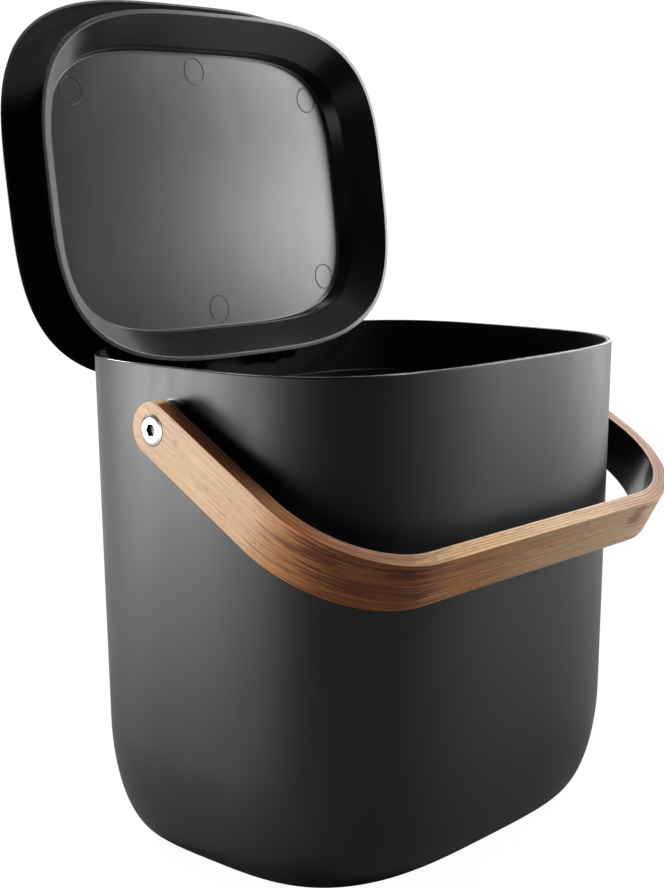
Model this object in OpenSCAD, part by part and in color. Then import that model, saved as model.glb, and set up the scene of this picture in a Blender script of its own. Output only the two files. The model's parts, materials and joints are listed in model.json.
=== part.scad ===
// Countertop compost caddy: a drafted bin with a flush hinged lid, a lift-out ring that
// grips the bag, and a laminated bow handle that swings on two screws.
// Millimetres. +Z is up, the front faces -Y, the origin is the middle of the base.

/* [Bin] */
// Height of the bin at its rim
bin_h = 215; // [200:1:235]
// Width over the rim, left to right
bin_w = 228; // [215:1:245]
// Depth over the rim, front to back
bin_d = 178; // [168:1:190]
// Squareness of the rim outline; 2 is an ellipse, more is squarer
rim_power = 3.4; // [3:0.1:4]
// Draft of the wall, millimetres inwards for each millimetre down
draft = 0.014; // [0.008:0.001:0.02]
// Thickness of the bin wall
wall_t = 2.2; // [1.8:0.1:2.6]
// Thickness of the floor
floor_t = 2.6; // [2:0.1:4]
// Height of the rounded foot of the wall
foot_h = 51; // [35:1:60]
// How far the foot curls in below the wall
foot_in = 16; // [10:1:22]
// Bevel on the two edges of the rim
rim_bevel = 0.7; // [0.6:0.05:0.8]

/* [Bag ring] */
// Clearance between the ring and the closed lid's skirt above it
ring_room = 2.1; // [1.5:0.1:9]
// Height of the ring
ring_h = 24; // [16:1:34]
// Thickness of the ring
ring_t = 1.6; // [1.2:0.1:2.4]
// Gap for the bag between ring and wall
ring_gap = 0.9; // [0.6:0.1:1.5]
// Width of each ledge that carries the ring
ledge_w = 10; // [6:1:16]
// Height of each ledge
ledge_h = 12; // [8:1:18]
// Distance of the front and back ledges from the middle
ledge_x = 55; // [40:1:65]

/* [Lid] */
// Gap between the rim and the closed lid
lid_gap = 0.6; // [0.5:0.1:1]
// Height of the cover's edge band
lid_edge_h = 0.6; // [0.4:0.1:1]
// Rise of the cover's crown above its edge band
crown_h = 9.4; // [8.5:0.1:12]
// How quickly the crown levels off; more is a flatter top
crown_power = 8.5; // [7.5:0.5:10]
// Thickness of the cover
cover_t = 1.7; // [1.4:0.1:1.8]
// Thickness of the cover where it runs out into its lip
cover_edge_t = 1; // [0.8:0.1:1.2]
// Width of the lip that meets the rim
lip_t = 1.1; // [0.9:0.05:1.2]
// Depth of the liner panel's underside below the lid plane
panel_drop = 5; // [3:0.1:6]
// Thickness of the liner panel
panel_t = 2; // [1.6:0.1:2.6]
// Squareness of the panel's outline
panel_power = 4; // [3.4:0.1:4.5]
// Depth of the step wall's foot below the lid plane
step_drop = 11.3; // [9:0.1:12.5]
// Lean of the step wall between its foot and the panel, left and right
step_lean_w = 3.4; // [1:0.1:5]
// Lean of the step wall between its foot and the panel, front and back
step_lean_d = 0.6; // [0.3:0.1:1.5]
// Thickness of the step wall and of the skirt
skirt_t = 1.6; // [1.4:0.1:1.7]
// Depth of the skirt's tip below the lid plane
tip_drop = 23.5; // [20:0.1:23.6]
// Clearance between the skirt's tip and the bore of the rim, left and right
tip_side_gap = 1; // [0.8:0.1:4]
// Clearance between the skirt's tip and the bore of the rim, front and back
tip_end_gap = 5.7; // [5.3:0.1:8]
// Run of the skirt's slope from the step wall's foot out to the tip
slope_run = 14.7; // [12:0.1:17]
// Width of the flat edge at the skirt's tip
tip_t = 2; // [1.4:0.1:2.4]
// Shift of the liner towards the hinge
liner_back = 1; // [0:0.1:1]
// Distance of the rib that is welded to the liner, in from the liner's upper edge
rib_edge = 0.4; // [0.4:0.1:3]
// Thickness of that rib
rib_t = 1.8; // [1.2:0.1:3]
// Diameter of the posts that join cover and liner
post_d = 12.5; // [8:0.5:14]
// Wall of those posts
post_wall = 1.8; // [1.2:0.1:2.5]
// Distance of the corner posts in from the panel's sides
post_in_x = 15.7; // [13:0.1:25]
// Distance of the corner posts in from the panel's front and back
post_in_y = 20.3; // [17:0.1:30]
// Distance of the front and back posts in from the panel's front and back
post_mid_in = 8.8; // [8:0.1:16]

/* [Lid hinge] */
// Angle that the lid stands open
lid_open = 97.6; // [80:0.1:98]
// Distance of the hinge axis in from the inner face of the rear rim
hinge_room = 5.3; // [5.1:0.1:5.6]
// Depth of the hinge axis below the rim
hinge_down = 11.2; // [11:0.1:11.6]
// Distance of each hinge from the middle
hinge_x = 30; // [20:1:40]
// Diameter of the hinge pins
pin_d = 3; // [2.5:0.1:3.5]
// Width of the lid's knuckle on each pin
knuckle_w = 11; // [8:1:16]
// Outer radius of the knuckle
knuckle_r = 3.9; // [3.5:0.1:4.4]
// Half height of the arm between knuckle and step wall
arm_half_h = 2.6; // [2:0.1:3]
// Thickness of each lug on the bin
lug_t = 3.6; // [3:0.1:5]
// Outer radius of the lugs
lug_r = 4.6; // [4:0.1:5]

/* [Handle] */
// Gap between the side of the rim and the inner face of each arm
arm_gap = 5.25; // [4:0.05:12]
// Gap between the front wall and the bar of the lowered bow
bar_gap = 0.5; // [0.5:0.1:12]
// Outer radius of the bow's corners
bow_corner_r = 51.9; // [40:0.1:60]
// Width of the strip
strip_w = 22.5; // [18:0.1:24]
// Thickness of each of the five plies
ply_t = 1.43; // [1.2:0.01:1.6]
// Thickness of the glue between plies
glue_t = 0.05; // [0.02:0.01:0.1]
// Angle of the lowered bow below level
bow_rest = 29.3; // [25:0.1:33]
// Depth of the pivots below the rim
pivot_down = 23.8; // [20:0.1:32]
// Radius of the round boss behind each arm
boss_r = 10.6; // [8:0.1:11]

/* [Pivot hardware] */
// Thickness of the thrust washer behind each arm
washer_t = 0.8; // [0.5:0.1:1.2]
// Outer radius of the thrust washer
washer_r = 9; // [6:0.1:10]
// Outer radius of the bush in each arm
bush_r = 4; // [3.8:0.1:4.3]
// Radius of the screw's shank
shank_r = 2.95; // [2.4:0.05:3]
// Radius of the screw's head
head_r = 6.2; // [5.2:0.1:8]
// Height of the screw's head
head_h = 2; // [1.8:0.1:3]
// Width of the chamfer around the screw's head
head_chamfer_w = 1.3; // [0.4:0.1:1.6]
// Height of the chamfer around the screw's head
head_chamfer_h = 0.55; // [0.2:0.05:0.8]
// Width across flats of the hex socket
socket_af = 4.7; // [3:0.1:5]
// Depth of the hex socket
socket_depth = 1.4; // [1:0.1:1.5]
// Outer radius of the threaded insert
insert_r = 4.5; // [4.4:0.1:6]
// Length of the threaded insert
insert_l = 5.4; // [4:0.1:5.6]
// Room behind the threaded insert in its hole
insert_room = 0.1; // [0.05:0.05:0.3]

/* [Fits] */
// Running clearance of a pin or bush, on the radius
run_gap = 0.06; // [0.02:0.01:0.1]
// Clearance of a seated part, on the radius
seat_gap = 0.02; // [0.01:0.01:0.05]
// Side clearance of a moving part
side_gap = 0.1; // [0.05:0.01:0.2]
// Clearance around the screw's sunk head, on the radius
head_room = 0.3; // [0.1:0.05:0.5]
// Side clearance of each hinge knuckle
knuckle_gap = 0.3; // [0.2:0.05:0.5]

/* [Hidden] */

black = "#2b2b2d";
satin_black = "#343436";
bamboo = "#c08a58";
steel = "#c9cacc";
brass = "#b8964a";
nylon = "#2c2c2c";

around = 96;            // corners of each outline
foot_steps = 7;         // bands in the rounded foot
crown_insets = [0, 1.2, 2.6, 4.5, 7, 11, 17, 26, 40, 60];   // rings of the crown, from the edge in
thinned_w = 6;          // width over which the cover thins towards its lip
embed = 0.3;            // depth by which a rib or post runs into the shell that it stands on
plies = 5;

half_w = bin_w / 2;
half_d = bin_d / 2;
left = -1;
right = 1;

lid_z = bin_h + lid_gap;
ring_top = lid_z - tip_drop - ring_room;
ring_foot = ring_top - ring_h;

tip_half_w = half_w - wall_t - tip_side_gap;
tip_half_d = half_d - wall_t - tip_end_gap;
step_half_w = tip_half_w - slope_run;
step_half_d = tip_half_d - slope_run;
panel_half_w = step_half_w - step_lean_w;
panel_half_d = step_half_d - step_lean_d;
rib_in = half_d - (panel_half_d + skirt_t - liner_back) + rib_edge;
post_x = panel_half_w - post_in_x;
post_y = panel_half_d - post_in_y;
post_mid_y = panel_half_d - post_mid_in;

hinge_y = half_d - wall_t - hinge_room;
hinge_z = bin_h - hinge_down;
pin_r = pin_d / 2;
pin_l = knuckle_w + 2 * (knuckle_gap + lug_t);
lug_mid = knuckle_w / 2 + knuckle_gap + lug_t / 2;

pivot_z = bin_h - pivot_down;
strip_t = plies * ply_t + (plies - 1) * glue_t;
arm_in = half_w + arm_gap;
arm_out = arm_in + strip_t;
// The lowered bar's lower inner edge clears the drafted wall by bar_gap
bar_in = (half_d + bar_gap + strip_w / 2 * sin(bow_rest) - draft * (pivot_down + strip_w / 2 * cos(bow_rest)))
    / (cos(bow_rest) + draft * sin(bow_rest));
bow_reach = bar_in + strip_t;
boss_face = arm_in - side_gap - washer_t;
// The head is sunk through the outermost ply
head_seat = arm_out - ply_t - glue_t + side_gap;

// --- outlines -------------------------------------------------------------------------

// Half sizes of the bin's outer face at height z
function foot_curl(z, h, top) = z < top ? foot_in * (1 - sqrt(1 - pow((top - z) / h, 2))) : 0;
function bin_inset(z) = draft * (bin_h - z) + foot_curl(z, foot_h, foot_h);
function bore_inset(z) = draft * (bin_h - z) + wall_t + foot_curl(z, foot_h - floor_t, foot_h);

// One ring of a loft: half width, half depth, height, squareness, shift in Y
function outer_ring(z, in = 0) = [half_w - bin_inset(z) - in, half_d - bin_inset(z) - in, z, rim_power, 0];
function inner_ring(z, in = 0) = [half_w - bore_inset(z) - in, half_d - bore_inset(z) - in, z, rim_power, 0];

// Distance from the middle plane to a superellipse at a place along its other axis
function reach_at(along, half_along, half_across, power) =
    half_across * pow(1 - pow(abs(along) / half_along, power), 1 / power);

function ring_points(r) = [for (i = [0 : around - 1])
    let (a = 360 * i / around, c = cos(a), s = sin(a))
    [r[0] * sign(c) * pow(abs(c), 2 / r[3]), r[1] * sign(s) * pow(abs(s), 2 / r[3]) + r[4], r[2]]];

function band_faces(from, to) = [for (i = [0 : around - 1])
    let (j = (i + 1) % around)
    each [[from * around + i, to * around + j, from * around + j],
          [from * around + i, to * around + i, to * around + j]]];

// Solid through a list of rings, closed by a flat face at each end
module loft(rings) {
    last = len(rings) - 1;
    polyhedron(
        points = [for (r = rings) each ring_points(r)],
        faces = concat(
            [[for (i = [0 : around - 1]) i]],
            [for (k = [0 : last - 1]) each band_faces(k, k + 1)],
            [[for (i = [around - 1 : -1 : 0]) last * around + i]]),
        convexity = 6);
}

// Solid ring through a list of rings that closes on itself
module hoop(rings) {
    count = len(rings);
    polyhedron(
        points = [for (r = rings) each ring_points(r)],
        faces = [for (k = [0 : count - 1]) each band_faces(k, (k + 1) % count)],
        convexity = 6);
}

// --- bin ------------------------------------------------------------------------------

// Rounded foot of the wall as heights, from the floor up
function foot_heights(low) = [for (k = [0 : foot_steps])
    low + (foot_h - low) * (1 - cos(90 * k / foot_steps))];

module bin_shell() {
    loft(concat(
        [for (z = foot_heights(0)) outer_ring(z)],
        [outer_ring(bin_h - rim_bevel), outer_ring(bin_h, rim_bevel), inner_ring(bin_h, -rim_bevel),
         inner_ring(bin_h - rim_bevel)],
        [for (k = [foot_steps : -1 : 0]) inner_ring(foot_heights(floor_t)[k])]));
}

// Ledge under the bag ring, on the +X side of the place where the wall's inner face is at x
module ledge(x) {
    tip = -ring_gap - ring_t - 0.8;
    translate([x, ledge_w / 2, 0])
        rotate([90, 0, 0])
            linear_extrude(height = ledge_w)
                polygon([[wall_t / 2, ring_foot - ledge_h], [wall_t / 2, ring_foot], [tip, ring_foot],
                         [tip, ring_foot - 1]]);
}

module ledges() {
    wall = inner_ring(ring_foot);
    for (side = [0, 180]) rotate([0, 0, side]) {
        ledge(wall[0]);
        for (x = [-ledge_x, ledge_x])
            translate([x, 0, 0])
                rotate([0, 0, 90])
                    ledge(reach_at(abs(x) + ledge_w / 2, wall[0], wall[1], rim_power));
    }
}

// One lug of a lid hinge, from the wall to the axis
module lug(x) {
    wall = inner_ring(hinge_z);
    root = reach_at(abs(x) + lug_t / 2, wall[0], wall[1], rim_power) + wall_t / 2;
    translate([x - lug_t / 2, hinge_y, hinge_z]) {
        rotate([0, 90, 0]) cylinder(r = lug_r, h = lug_t, $fn = 64);
        translate([0, 0, -lug_r]) cube([lug_t, root - hinge_y, 2 * lug_r]);
    }
}

module boss(side) {
    root = outer_ring(pivot_z)[0] - wall_t / 2;
    translate([side * root, 0, pivot_z])
        rotate([0, side * 90, 0])
            cylinder(r = boss_r, h = boss_face - root, $fn = 96);
}

module bin_body() {
    color(black) difference() {
        union() {
            bin_shell();
            ledges();
            for (side = [left, right]) {
                boss(side);
                for (end = [-1, 1]) lug(side * hinge_x + end * lug_mid);
            }
        }
        for (side = [left, right]) {
            translate([side * hinge_x, hinge_y, hinge_z])
                rotate([0, 90, 0])
                    cylinder(r = pin_r + seat_gap, h = pin_l + 1, center = true, $fn = 48);
            translate([side * boss_face, 0, pivot_z])
                rotate([0, -side * 90, 0])
                    translate([0, 0, -1])
                        cylinder(r = insert_r + seat_gap, h = insert_l + insert_room + 1, $fn = 64);
        }
    }
}

// --- bag ring -------------------------------------------------------------------------

module bag_ring() {
    color(satin_black) hoop([
        inner_ring(ring_foot, ring_gap),
        inner_ring(ring_top, ring_gap),
        inner_ring(ring_top, ring_gap + ring_t),
        inner_ring(ring_foot, ring_gap + ring_t)]);
}

// --- lid, drawn shut and then swung open about the hinge axis -------------------------

module opened() {
    translate([0, hinge_y, hinge_z])
        rotate([-lid_open, 0, 0])
            translate([0, -hinge_y, -hinge_z])
                children();
}

function crown(inset) = lid_edge_h + crown_h * (1 - pow(1 - inset / half_d, crown_power));
function shell_t(inset) = cover_edge_t + (cover_t - cover_edge_t) * min(1, inset / thinned_w);
function cover_ring(inset, rise) = [half_w - inset, half_d - inset, lid_z + rise, rim_power, 0];

module cover_shell() {
    steps = len(crown_insets) - 1;
    loft(concat(
        [for (k = [steps : -1 : 2])
            cover_ring(crown_insets[k], crown(crown_insets[k]) - shell_t(crown_insets[k]))],
        [cover_ring(lip_t, crown(lip_t) - shell_t(lip_t)), cover_ring(lip_t, 0), cover_ring(0, 0)],
        [for (s = crown_insets) cover_ring(s, crown(s))]));
}

post_places = concat(
    [for (x = [-post_x, post_x], y = [-post_y, post_y]) [x, y + liner_back]],
    [for (y = [-post_mid_y, post_mid_y]) [0, y + liner_back]]);
liner_top = lid_z - panel_drop + panel_t;
post_top = lid_z + crown(crown_insets[len(crown_insets) - 1]) - cover_t + embed / 3;

module post(at) {
    translate([at[0], at[1], liner_top])
        difference() {
            cylinder(d = post_d, h = post_top - liner_top, $fn = 48);
            translate([0, 0, -1])
                cylinder(d = post_d - 2 * post_wall, h = post_top - liner_top, $fn = 48);
        }
}

// Wall that stands on the liner all round and closes the hollow of the lid
module weld_rib() {
    top = crown(rib_in) - cover_t + embed;
    foot = liner_top - lid_z;
    hoop([cover_ring(rib_in, foot), cover_ring(rib_in, top),
          cover_ring(rib_in + rib_t, top), cover_ring(rib_in + rib_t, foot)]);
}

module lid_cover() {
    color(black) opened() union() {
        cover_shell();
        weld_rib();
        for (at = post_places) post(at);
    }
}

function liner_ring(w, d, drop, power) = [w, d, lid_z - drop, power, liner_back];

module liner_shell() {
    loft([
        liner_ring(panel_half_w, panel_half_d, panel_drop, panel_power),
        liner_ring(step_half_w, step_half_d, step_drop, panel_power),
        liner_ring(tip_half_w - tip_t, tip_half_d - tip_t, tip_drop, rim_power),
        liner_ring(tip_half_w, tip_half_d, tip_drop, rim_power),
        liner_ring(step_half_w + skirt_t, step_half_d + skirt_t, step_drop - skirt_t / 2, panel_power),
        liner_ring(panel_half_w + skirt_t, panel_half_d + skirt_t, panel_drop - panel_t, panel_power)]);
}

// Depth coordinate of the middle of the liner's rear wall at a depth below the lid plane
function wall_mid(drop) = liner_back + skirt_t / 2 + (drop < step_drop
    ? step_half_d - (step_half_d - panel_half_d) * (step_drop - drop) / (step_drop - panel_drop)
    : step_half_d + (tip_half_d - tip_t - step_half_d) * (drop - step_drop) / (tip_drop - step_drop));

// Arm and knuckle of one hinge, from the liner's rear wall to the pin
module lid_arm(side) {
    axis_drop = lid_z - hinge_z;
    drops = [axis_drop - arm_half_h, step_drop, axis_drop + arm_half_h];
    translate([side * hinge_x - knuckle_w / 2, hinge_y, hinge_z])
        rotate([90, 0, 90]) {
            cylinder(r = knuckle_r, h = knuckle_w, $fn = 64);
            linear_extrude(height = knuckle_w)
                polygon(concat(
                    [for (d = drops) [wall_mid(d) - hinge_y, axis_drop - d]],
                    [[0, -arm_half_h], [0, arm_half_h]]));
        }
}

module lid_liner() {
    color(satin_black) opened() difference() {
        union() {
            liner_shell();
            for (side = [left, right]) lid_arm(side);
        }
        for (side = [left, right])
            translate([side * hinge_x, hinge_y, hinge_z])
                rotate([0, 90, 0])
                    cylinder(r = pin_r + run_gap, h = knuckle_w + 1, center = true, $fn = 48);
    }
}

module hinge_pin(side) {
    color(steel)
        translate([side * hinge_x, hinge_y, hinge_z])
            rotate([0, 90, 0])
                cylinder(r = pin_r, h = pin_l, center = true, $fn = 48);
}

// --- handle ---------------------------------------------------------------------------

// Area inside the bow's outer face moved in by inset, from the pivots forward
module bow_area(inset) {
    w = arm_out - inset;
    reach = bow_reach - inset;
    r = bow_corner_r - inset;
    translate([-w, r - reach]) square([2 * w, reach - r]);
    translate([r - w, -reach]) square([2 * (w - r), reach]);
    for (side = [left, right])
        translate([side * (w - r), r - reach]) circle(r = r, $fn = 120);
}

module lowered_bow() {
    translate([0, 0, pivot_z])
        rotate([bow_rest, 0, 0])
            children();
}

// Ply number k, counted from the outer face, with its round ends and the holes for heads or bushes
module ply(k) {
    inset = (k - 1) * (ply_t + glue_t);
    hole_r = k == 1 ? head_r + head_room : bush_r + run_gap;
    color(bamboo) lowered_bow() difference() {
        union() {
            linear_extrude(height = strip_w, center = true)
                difference() {
                    bow_area(inset);
                    bow_area(inset + ply_t);
                }
            for (side = [left, right])
                translate([side * (arm_out - inset - ply_t / 2), 0, 0])
                    rotate([0, 90, 0])
                        cylinder(d = strip_w, h = ply_t, center = true, $fn = 96);
        }
        for (side = [left, right])
            translate([side * (arm_out - strip_t / 2), 0, 0])
                rotate([0, 90, 0])
                    cylinder(r = hole_r, h = strip_t + 2, center = true, $fn = 64);
    }
}

// --- pivot hardware, each piece drawn along +X from its inner end ---------------------

// Places children at x on one side, pointing outwards
module on_pivot(side, x) {
    translate([side * x, 0, pivot_z])
        rotate([0, side * 90, 0])
            children();
}

module handle_bush(side) {
    length = head_seat - boss_face;
    color(steel) on_pivot(side, boss_face) difference() {
        cylinder(r = bush_r, h = length, $fn = 64);
        translate([0, 0, -1]) cylinder(r = shank_r + run_gap, h = length + 2, $fn = 64);
    }
}

module handle_washer(side) {
    color(nylon) on_pivot(side, boss_face) difference() {
        cylinder(r = washer_r, h = washer_t, $fn = 96);
        translate([0, 0, -1]) cylinder(r = bush_r + run_gap, h = washer_t + 2, $fn = 64);
    }
}

module handle_screw(side) {
    shank_l = head_seat - (boss_face - insert_l);
    color(steel) on_pivot(side, head_seat) difference() {
        rotate_extrude($fn = 96)
            polygon([[0, -shank_l], [shank_r, -shank_l], [shank_r, 0], [head_r, 0],
                     [head_r, head_h - head_chamfer_h], [head_r - head_chamfer_w, head_h], [0, head_h]]);
        translate([0, 0, head_h - socket_depth])
            rotate([0, 0, 30])
                cylinder(r = socket_af / sqrt(3), h = socket_depth + 1, $fn = 6);
    }
}

module handle_insert(side) {
    color(brass) on_pivot(side, boss_face - insert_l) difference() {
        cylinder(r = insert_r, h = insert_l, $fn = 64);
        translate([0, 0, -1]) cylinder(r = shank_r + seat_gap, h = insert_l + 2, $fn = 64);
    }
}

bin_body();
bag_ring();
lid_cover();
lid_liner();
hinge_pin(left);  // hinge_pin_left
hinge_pin(right);  // hinge_pin_right
ply(1);  // handle_ply_1
ply(2);  // handle_ply_2
ply(3);  // handle_ply_3
ply(4);  // handle_ply_4
ply(5);  // handle_ply_5
handle_bush(left);  // handle_bush_left
handle_bush(right);  // handle_bush_right
handle_washer(left);  // handle_washer_left
handle_washer(right);  // handle_washer_right
handle_screw(left);  // handle_screw_left
handle_screw(right);  // handle_screw_right
handle_insert(left);  // handle_insert_left
handle_insert(right);  // handle_insert_right
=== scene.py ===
import json
import math

import bpy
import bmesh
import numpy as np
from mathutils import Matrix, Vector


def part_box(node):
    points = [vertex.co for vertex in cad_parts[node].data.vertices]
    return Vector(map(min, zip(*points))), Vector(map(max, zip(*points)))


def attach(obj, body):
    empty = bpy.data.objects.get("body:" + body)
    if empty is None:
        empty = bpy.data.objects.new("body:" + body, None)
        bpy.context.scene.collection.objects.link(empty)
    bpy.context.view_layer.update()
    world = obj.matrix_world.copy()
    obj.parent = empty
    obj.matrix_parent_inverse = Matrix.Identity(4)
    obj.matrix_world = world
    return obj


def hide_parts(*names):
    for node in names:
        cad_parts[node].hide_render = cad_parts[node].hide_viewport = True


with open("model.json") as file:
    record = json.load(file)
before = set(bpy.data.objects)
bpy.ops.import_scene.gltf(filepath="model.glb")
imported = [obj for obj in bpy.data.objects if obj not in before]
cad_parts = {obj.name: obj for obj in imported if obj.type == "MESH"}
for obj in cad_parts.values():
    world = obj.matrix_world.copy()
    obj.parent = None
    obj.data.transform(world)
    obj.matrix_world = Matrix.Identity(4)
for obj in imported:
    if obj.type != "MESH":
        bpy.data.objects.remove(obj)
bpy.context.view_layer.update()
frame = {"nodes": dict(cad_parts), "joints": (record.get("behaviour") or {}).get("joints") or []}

MM = 0.001

# --- sizes that come from the frame, in metres ------------------------------------------

BIN_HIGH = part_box("bin_body")[1]
COVER_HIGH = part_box("lid_cover")[1]
RING_LOW, RING_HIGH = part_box("bag_ring")
BOW_LOW, BOW_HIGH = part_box("handle_ply_1")
SCREW_LOW, SCREW_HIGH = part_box("handle_screw_right")
WASHER_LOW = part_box("handle_washer_right")[0]
INSERT_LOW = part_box("handle_insert_right")[0]
PIN_LOW, PIN_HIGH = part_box("hinge_pin_right")
JOINTS = {j["name"]: j for j in frame["joints"]}

LID_AXIS = Vector(JOINTS["lid_hinge"]["pos_m"])
LID_OPEN = math.radians(JOINTS["lid_hinge"]["range_deg"][1])
PIVOT = Vector(JOINTS["handle_swing"]["pos_m"])

BIN_H = BIN_HIGH.z
HALF_W = COVER_HIGH.x
HALF_D = BIN_HIGH.y
RIM_POWER = 3.4

# --- sizes of the pieces, in metres ------------------------------------------------------

DRAFT = 0.014
WALL = 2.2 * MM
FLOOR_T = 2.6 * MM
FOOT_H = 51 * MM
FOOT_IN = 16 * MM
RIM_ROUND = 0.7 * MM
RIM_FOOT = BIN_H - 3 * MM
WALL_TOP = BIN_H - 4 * MM

RING_TOP = RING_HIGH.z
RING_FOOT = RING_LOW.z
RING_T = 1.6 * MM
RING_GAP = 0.9 * MM
RING_ROUND = 0.35 * MM
LEDGE_W = 10 * MM
LEDGE_H = 12 * MM
LEDGE_X = 55 * MM
LEDGE_MORE = 0.8 * MM
LEDGE_TIP_T = 1 * MM

LID_GAP = 0.6 * MM
LID_Z = BIN_H + LID_GAP
EDGE_H = 0.6 * MM
CROWN_H = 9.4 * MM
CROWN_POWER = 8.5
CROWN_BEND_IN = 11 * MM
CROWN_TOP_IN = 60 * MM
COVER_T = 1.7 * MM
COVER_EDGE_T = 1.0 * MM
THINNED_W = 6 * MM
LIP_T = 1.1 * MM
LIP_ROUNDS = (0.12 * MM, 0.2 * MM, 0.25 * MM)
PANEL_DROP = 5 * MM
PANEL_T = 2 * MM
PANEL_HALF = (92.7 * MM, 65.8 * MM)
PANEL_POWER = 4.0
STEP_DROP = 11.3 * MM
STEP_HALF = (96.1 * MM, 66.4 * MM)
SKIRT_T = 1.6 * MM
TIP_DROP = 23.5 * MM
TIP_HALF = (110.8 * MM, 81.1 * MM)
TIP_T = 2 * MM
LINER_BACK = 1 * MM
LINER_TOP = LID_Z - PANEL_DROP + PANEL_T
LINER_ROUNDS = (0.9 * MM, 0.7 * MM, 0.3 * MM, 0.25 * MM, 0.8 * MM, 0.8 * MM)
POST_R = 6.25 * MM
POST_SUNK = 0.1 * MM
POST_PLACES = [(x * 77 * MM, y * 45.5 * MM) for x in (-1, 1) for y in (-1, 1)]
POST_PLACES += [(0, y * 57 * MM) for y in (-1, 1)]
MARK_FOOT = 0.42 * MM
MARK_TOP = 0.12 * MM
MARK_H = 0.22 * MM
MARK_SUNK = 0.1 * MM
RIB_IN = 23 * MM
RIB_T = 1.8 * MM
RIB_SUNK = 0.3 * MM

HINGE_X = (PIN_LOW.x + PIN_HIGH.x) / 2
KNUCKLE_W = 11 * MM
KNUCKLE_R = 3.9 * MM
KNUCKLE_GAP = 0.3 * MM
ARM_HALF_H = 2.6 * MM
LUG_T = 3.6 * MM
LUG_R = 4.6 * MM
PIN_HOLE_R = 1.56 * MM

BOW_HALF_W = BOW_HIGH.x
BOW_CORNER_R = 51.9 * MM
STRIP_W = 22.5 * MM
PLY_T = 1.43 * MM
GLUE_T = 0.05 * MM
PLIES = 5
BOW_DEPTH = PLIES * PLY_T + (PLIES - 1) * GLUE_T
BOW_REST = math.radians(29.3)
BOW_REACH = (-BOW_LOW.y - STRIP_W / 2 * math.sin(BOW_REST)) / math.cos(BOW_REST)
BOW_STRAIGHT = BOW_REACH - BOW_CORNER_R
BOW_CENTRE_X = BOW_HALF_W - BOW_CORNER_R
ARM_RUN = STRIP_W / 2 + BOW_STRAIGHT
BEND_RUN = math.pi / 2 * BOW_CORNER_R
BOW_RUN = 2 * (ARM_RUN + BEND_RUN + BOW_CENTRE_X)
# Rounds on the bow's outer and inner edges and on the other edges of the plies, the flat that each keeps
# beside it, the share of the half width that a round may take, and the least half width at an end
BOW_SOFT = 0.55 * MM
PLY_SOFT = 0.06 * MM
SOFT_HOLD = 0.3 * MM
MOST_SOFT = 0.6
LEAST_HALF_W = 0.15 * MM
DRILL_DEPTH = 1.5 * BOW_DEPTH

BOSS_R = 10.6 * MM
BOSS_FACE = WASHER_LOW.x
BOSS_FLARE = 0.8 * MM
BOSS_ROUND = 0.15 * MM
INSERT_R = 4.5 * MM
INSERT_HOLE_L = 5.5 * MM
BUSH_HOLE_R = 4.06 * MM

SIDE_GAP = 0.1 * MM
HEAD_SEAT = BOW_HALF_W - PLY_T - GLUE_T + SIDE_GAP
HEAD_R = (SCREW_HIGH.z - SCREW_LOW.z) / 2
HEAD_FACE = SCREW_HIGH.x
HEAD_H = HEAD_FACE - HEAD_SEAT
HEAD_ROOM = 0.3 * MM
HEAD_CHAMFER_W = 1.3 * MM
HEAD_CHAMFER_H = 0.55 * MM
HEAD_FLAT_IN = 2.2 * MM
HEAD_ROUNDS = (0.15 * MM, 0.15 * MM, 0.2 * MM)
SHANK_R = 2.95 * MM
SHANK_L = HEAD_SEAT - INSERT_LOW.x
SHANK_BEVEL = 0.4 * MM
SOCKET_AF = 4.7 * MM
SOCKET_DEPTH = 1.4 * MM
SOCKET_BEVEL = 0.22 * MM
SOCKET_HOLD = 0.1 * MM
SOCKET_CONE_R = SOCKET_AF / 4
SOCKET_CONE_H = 0.15 * MM

# --- how finely the shapes are cut up ------------------------------------------------------

# Points round each outline
AROUND = 320
AROUND_SCREW = 120
AROUND_MARK = 72
AROUND_KNUCKLE = 64
AROUND_POST = 48
CROWN_BEND_STEPS = 16
CROWN_CROWDING = 1.3
CROWN_TOP_STEPS = 12
END_STEPS = 14
ARM_STEPS = 12
BEND_STEPS = 48
BAR_STEPS = 24
LUG_FLAT_STEPS = 5
LUG_END_STEPS = 8
LUG_ROUND_STEPS = 24
# Where a flat face has its rings, from 0 in its middle to 1 at its edge
FLOOR_SHARES = (0.02, 0.3, 0.6, 0.85, 0.97)
COVER_SHARES = (0.03, 0.4, 0.75)
PANEL_SHARES = (0.02, 0.2, 0.4)
BACK_SHARES = (0.4, 0.02)
SHARP_WOOD = math.radians(40)
SHARP_STEEL = math.radians(28)


# --- outlines and lofts -------------------------------------------------------------------

def superellipse(half_w, half_d, power, cos, sin):
    x = half_w * np.sign(cos) * np.abs(cos) ** (2 / power)
    y = half_d * np.sign(sin) * np.abs(sin) ** (2 / power)
    return x, y


def even_angles(count, samples=20001):
    """Angles that put the points of the rim's outline at even distances."""
    t = np.linspace(0, 2 * math.pi, samples)
    x, y = superellipse(HALF_W, HALF_D, RIM_POWER, np.cos(t), np.sin(t))
    run = np.concatenate([[0], np.cumsum(np.hypot(np.diff(x), np.diff(y)))])
    return np.interp(np.linspace(0, run[-1], count, endpoint=False), run, t)


ANGLES = even_angles(AROUND)
COS = np.cos(ANGLES)
SIN = np.sin(ANGLES)


def outline(half_w, half_d, z, power, shift=0.0):
    x, y = superellipse(half_w, half_d, power, COS, SIN)
    return np.stack([x, y + shift, np.full(AROUND, z)], 1)


def reach_at(along, half_along, half_across, power):
    """Distance of a superellipse from its long axis at a place along that axis."""
    return half_across * (1 - (abs(along) / half_along) ** power) ** (1 / power)


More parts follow.
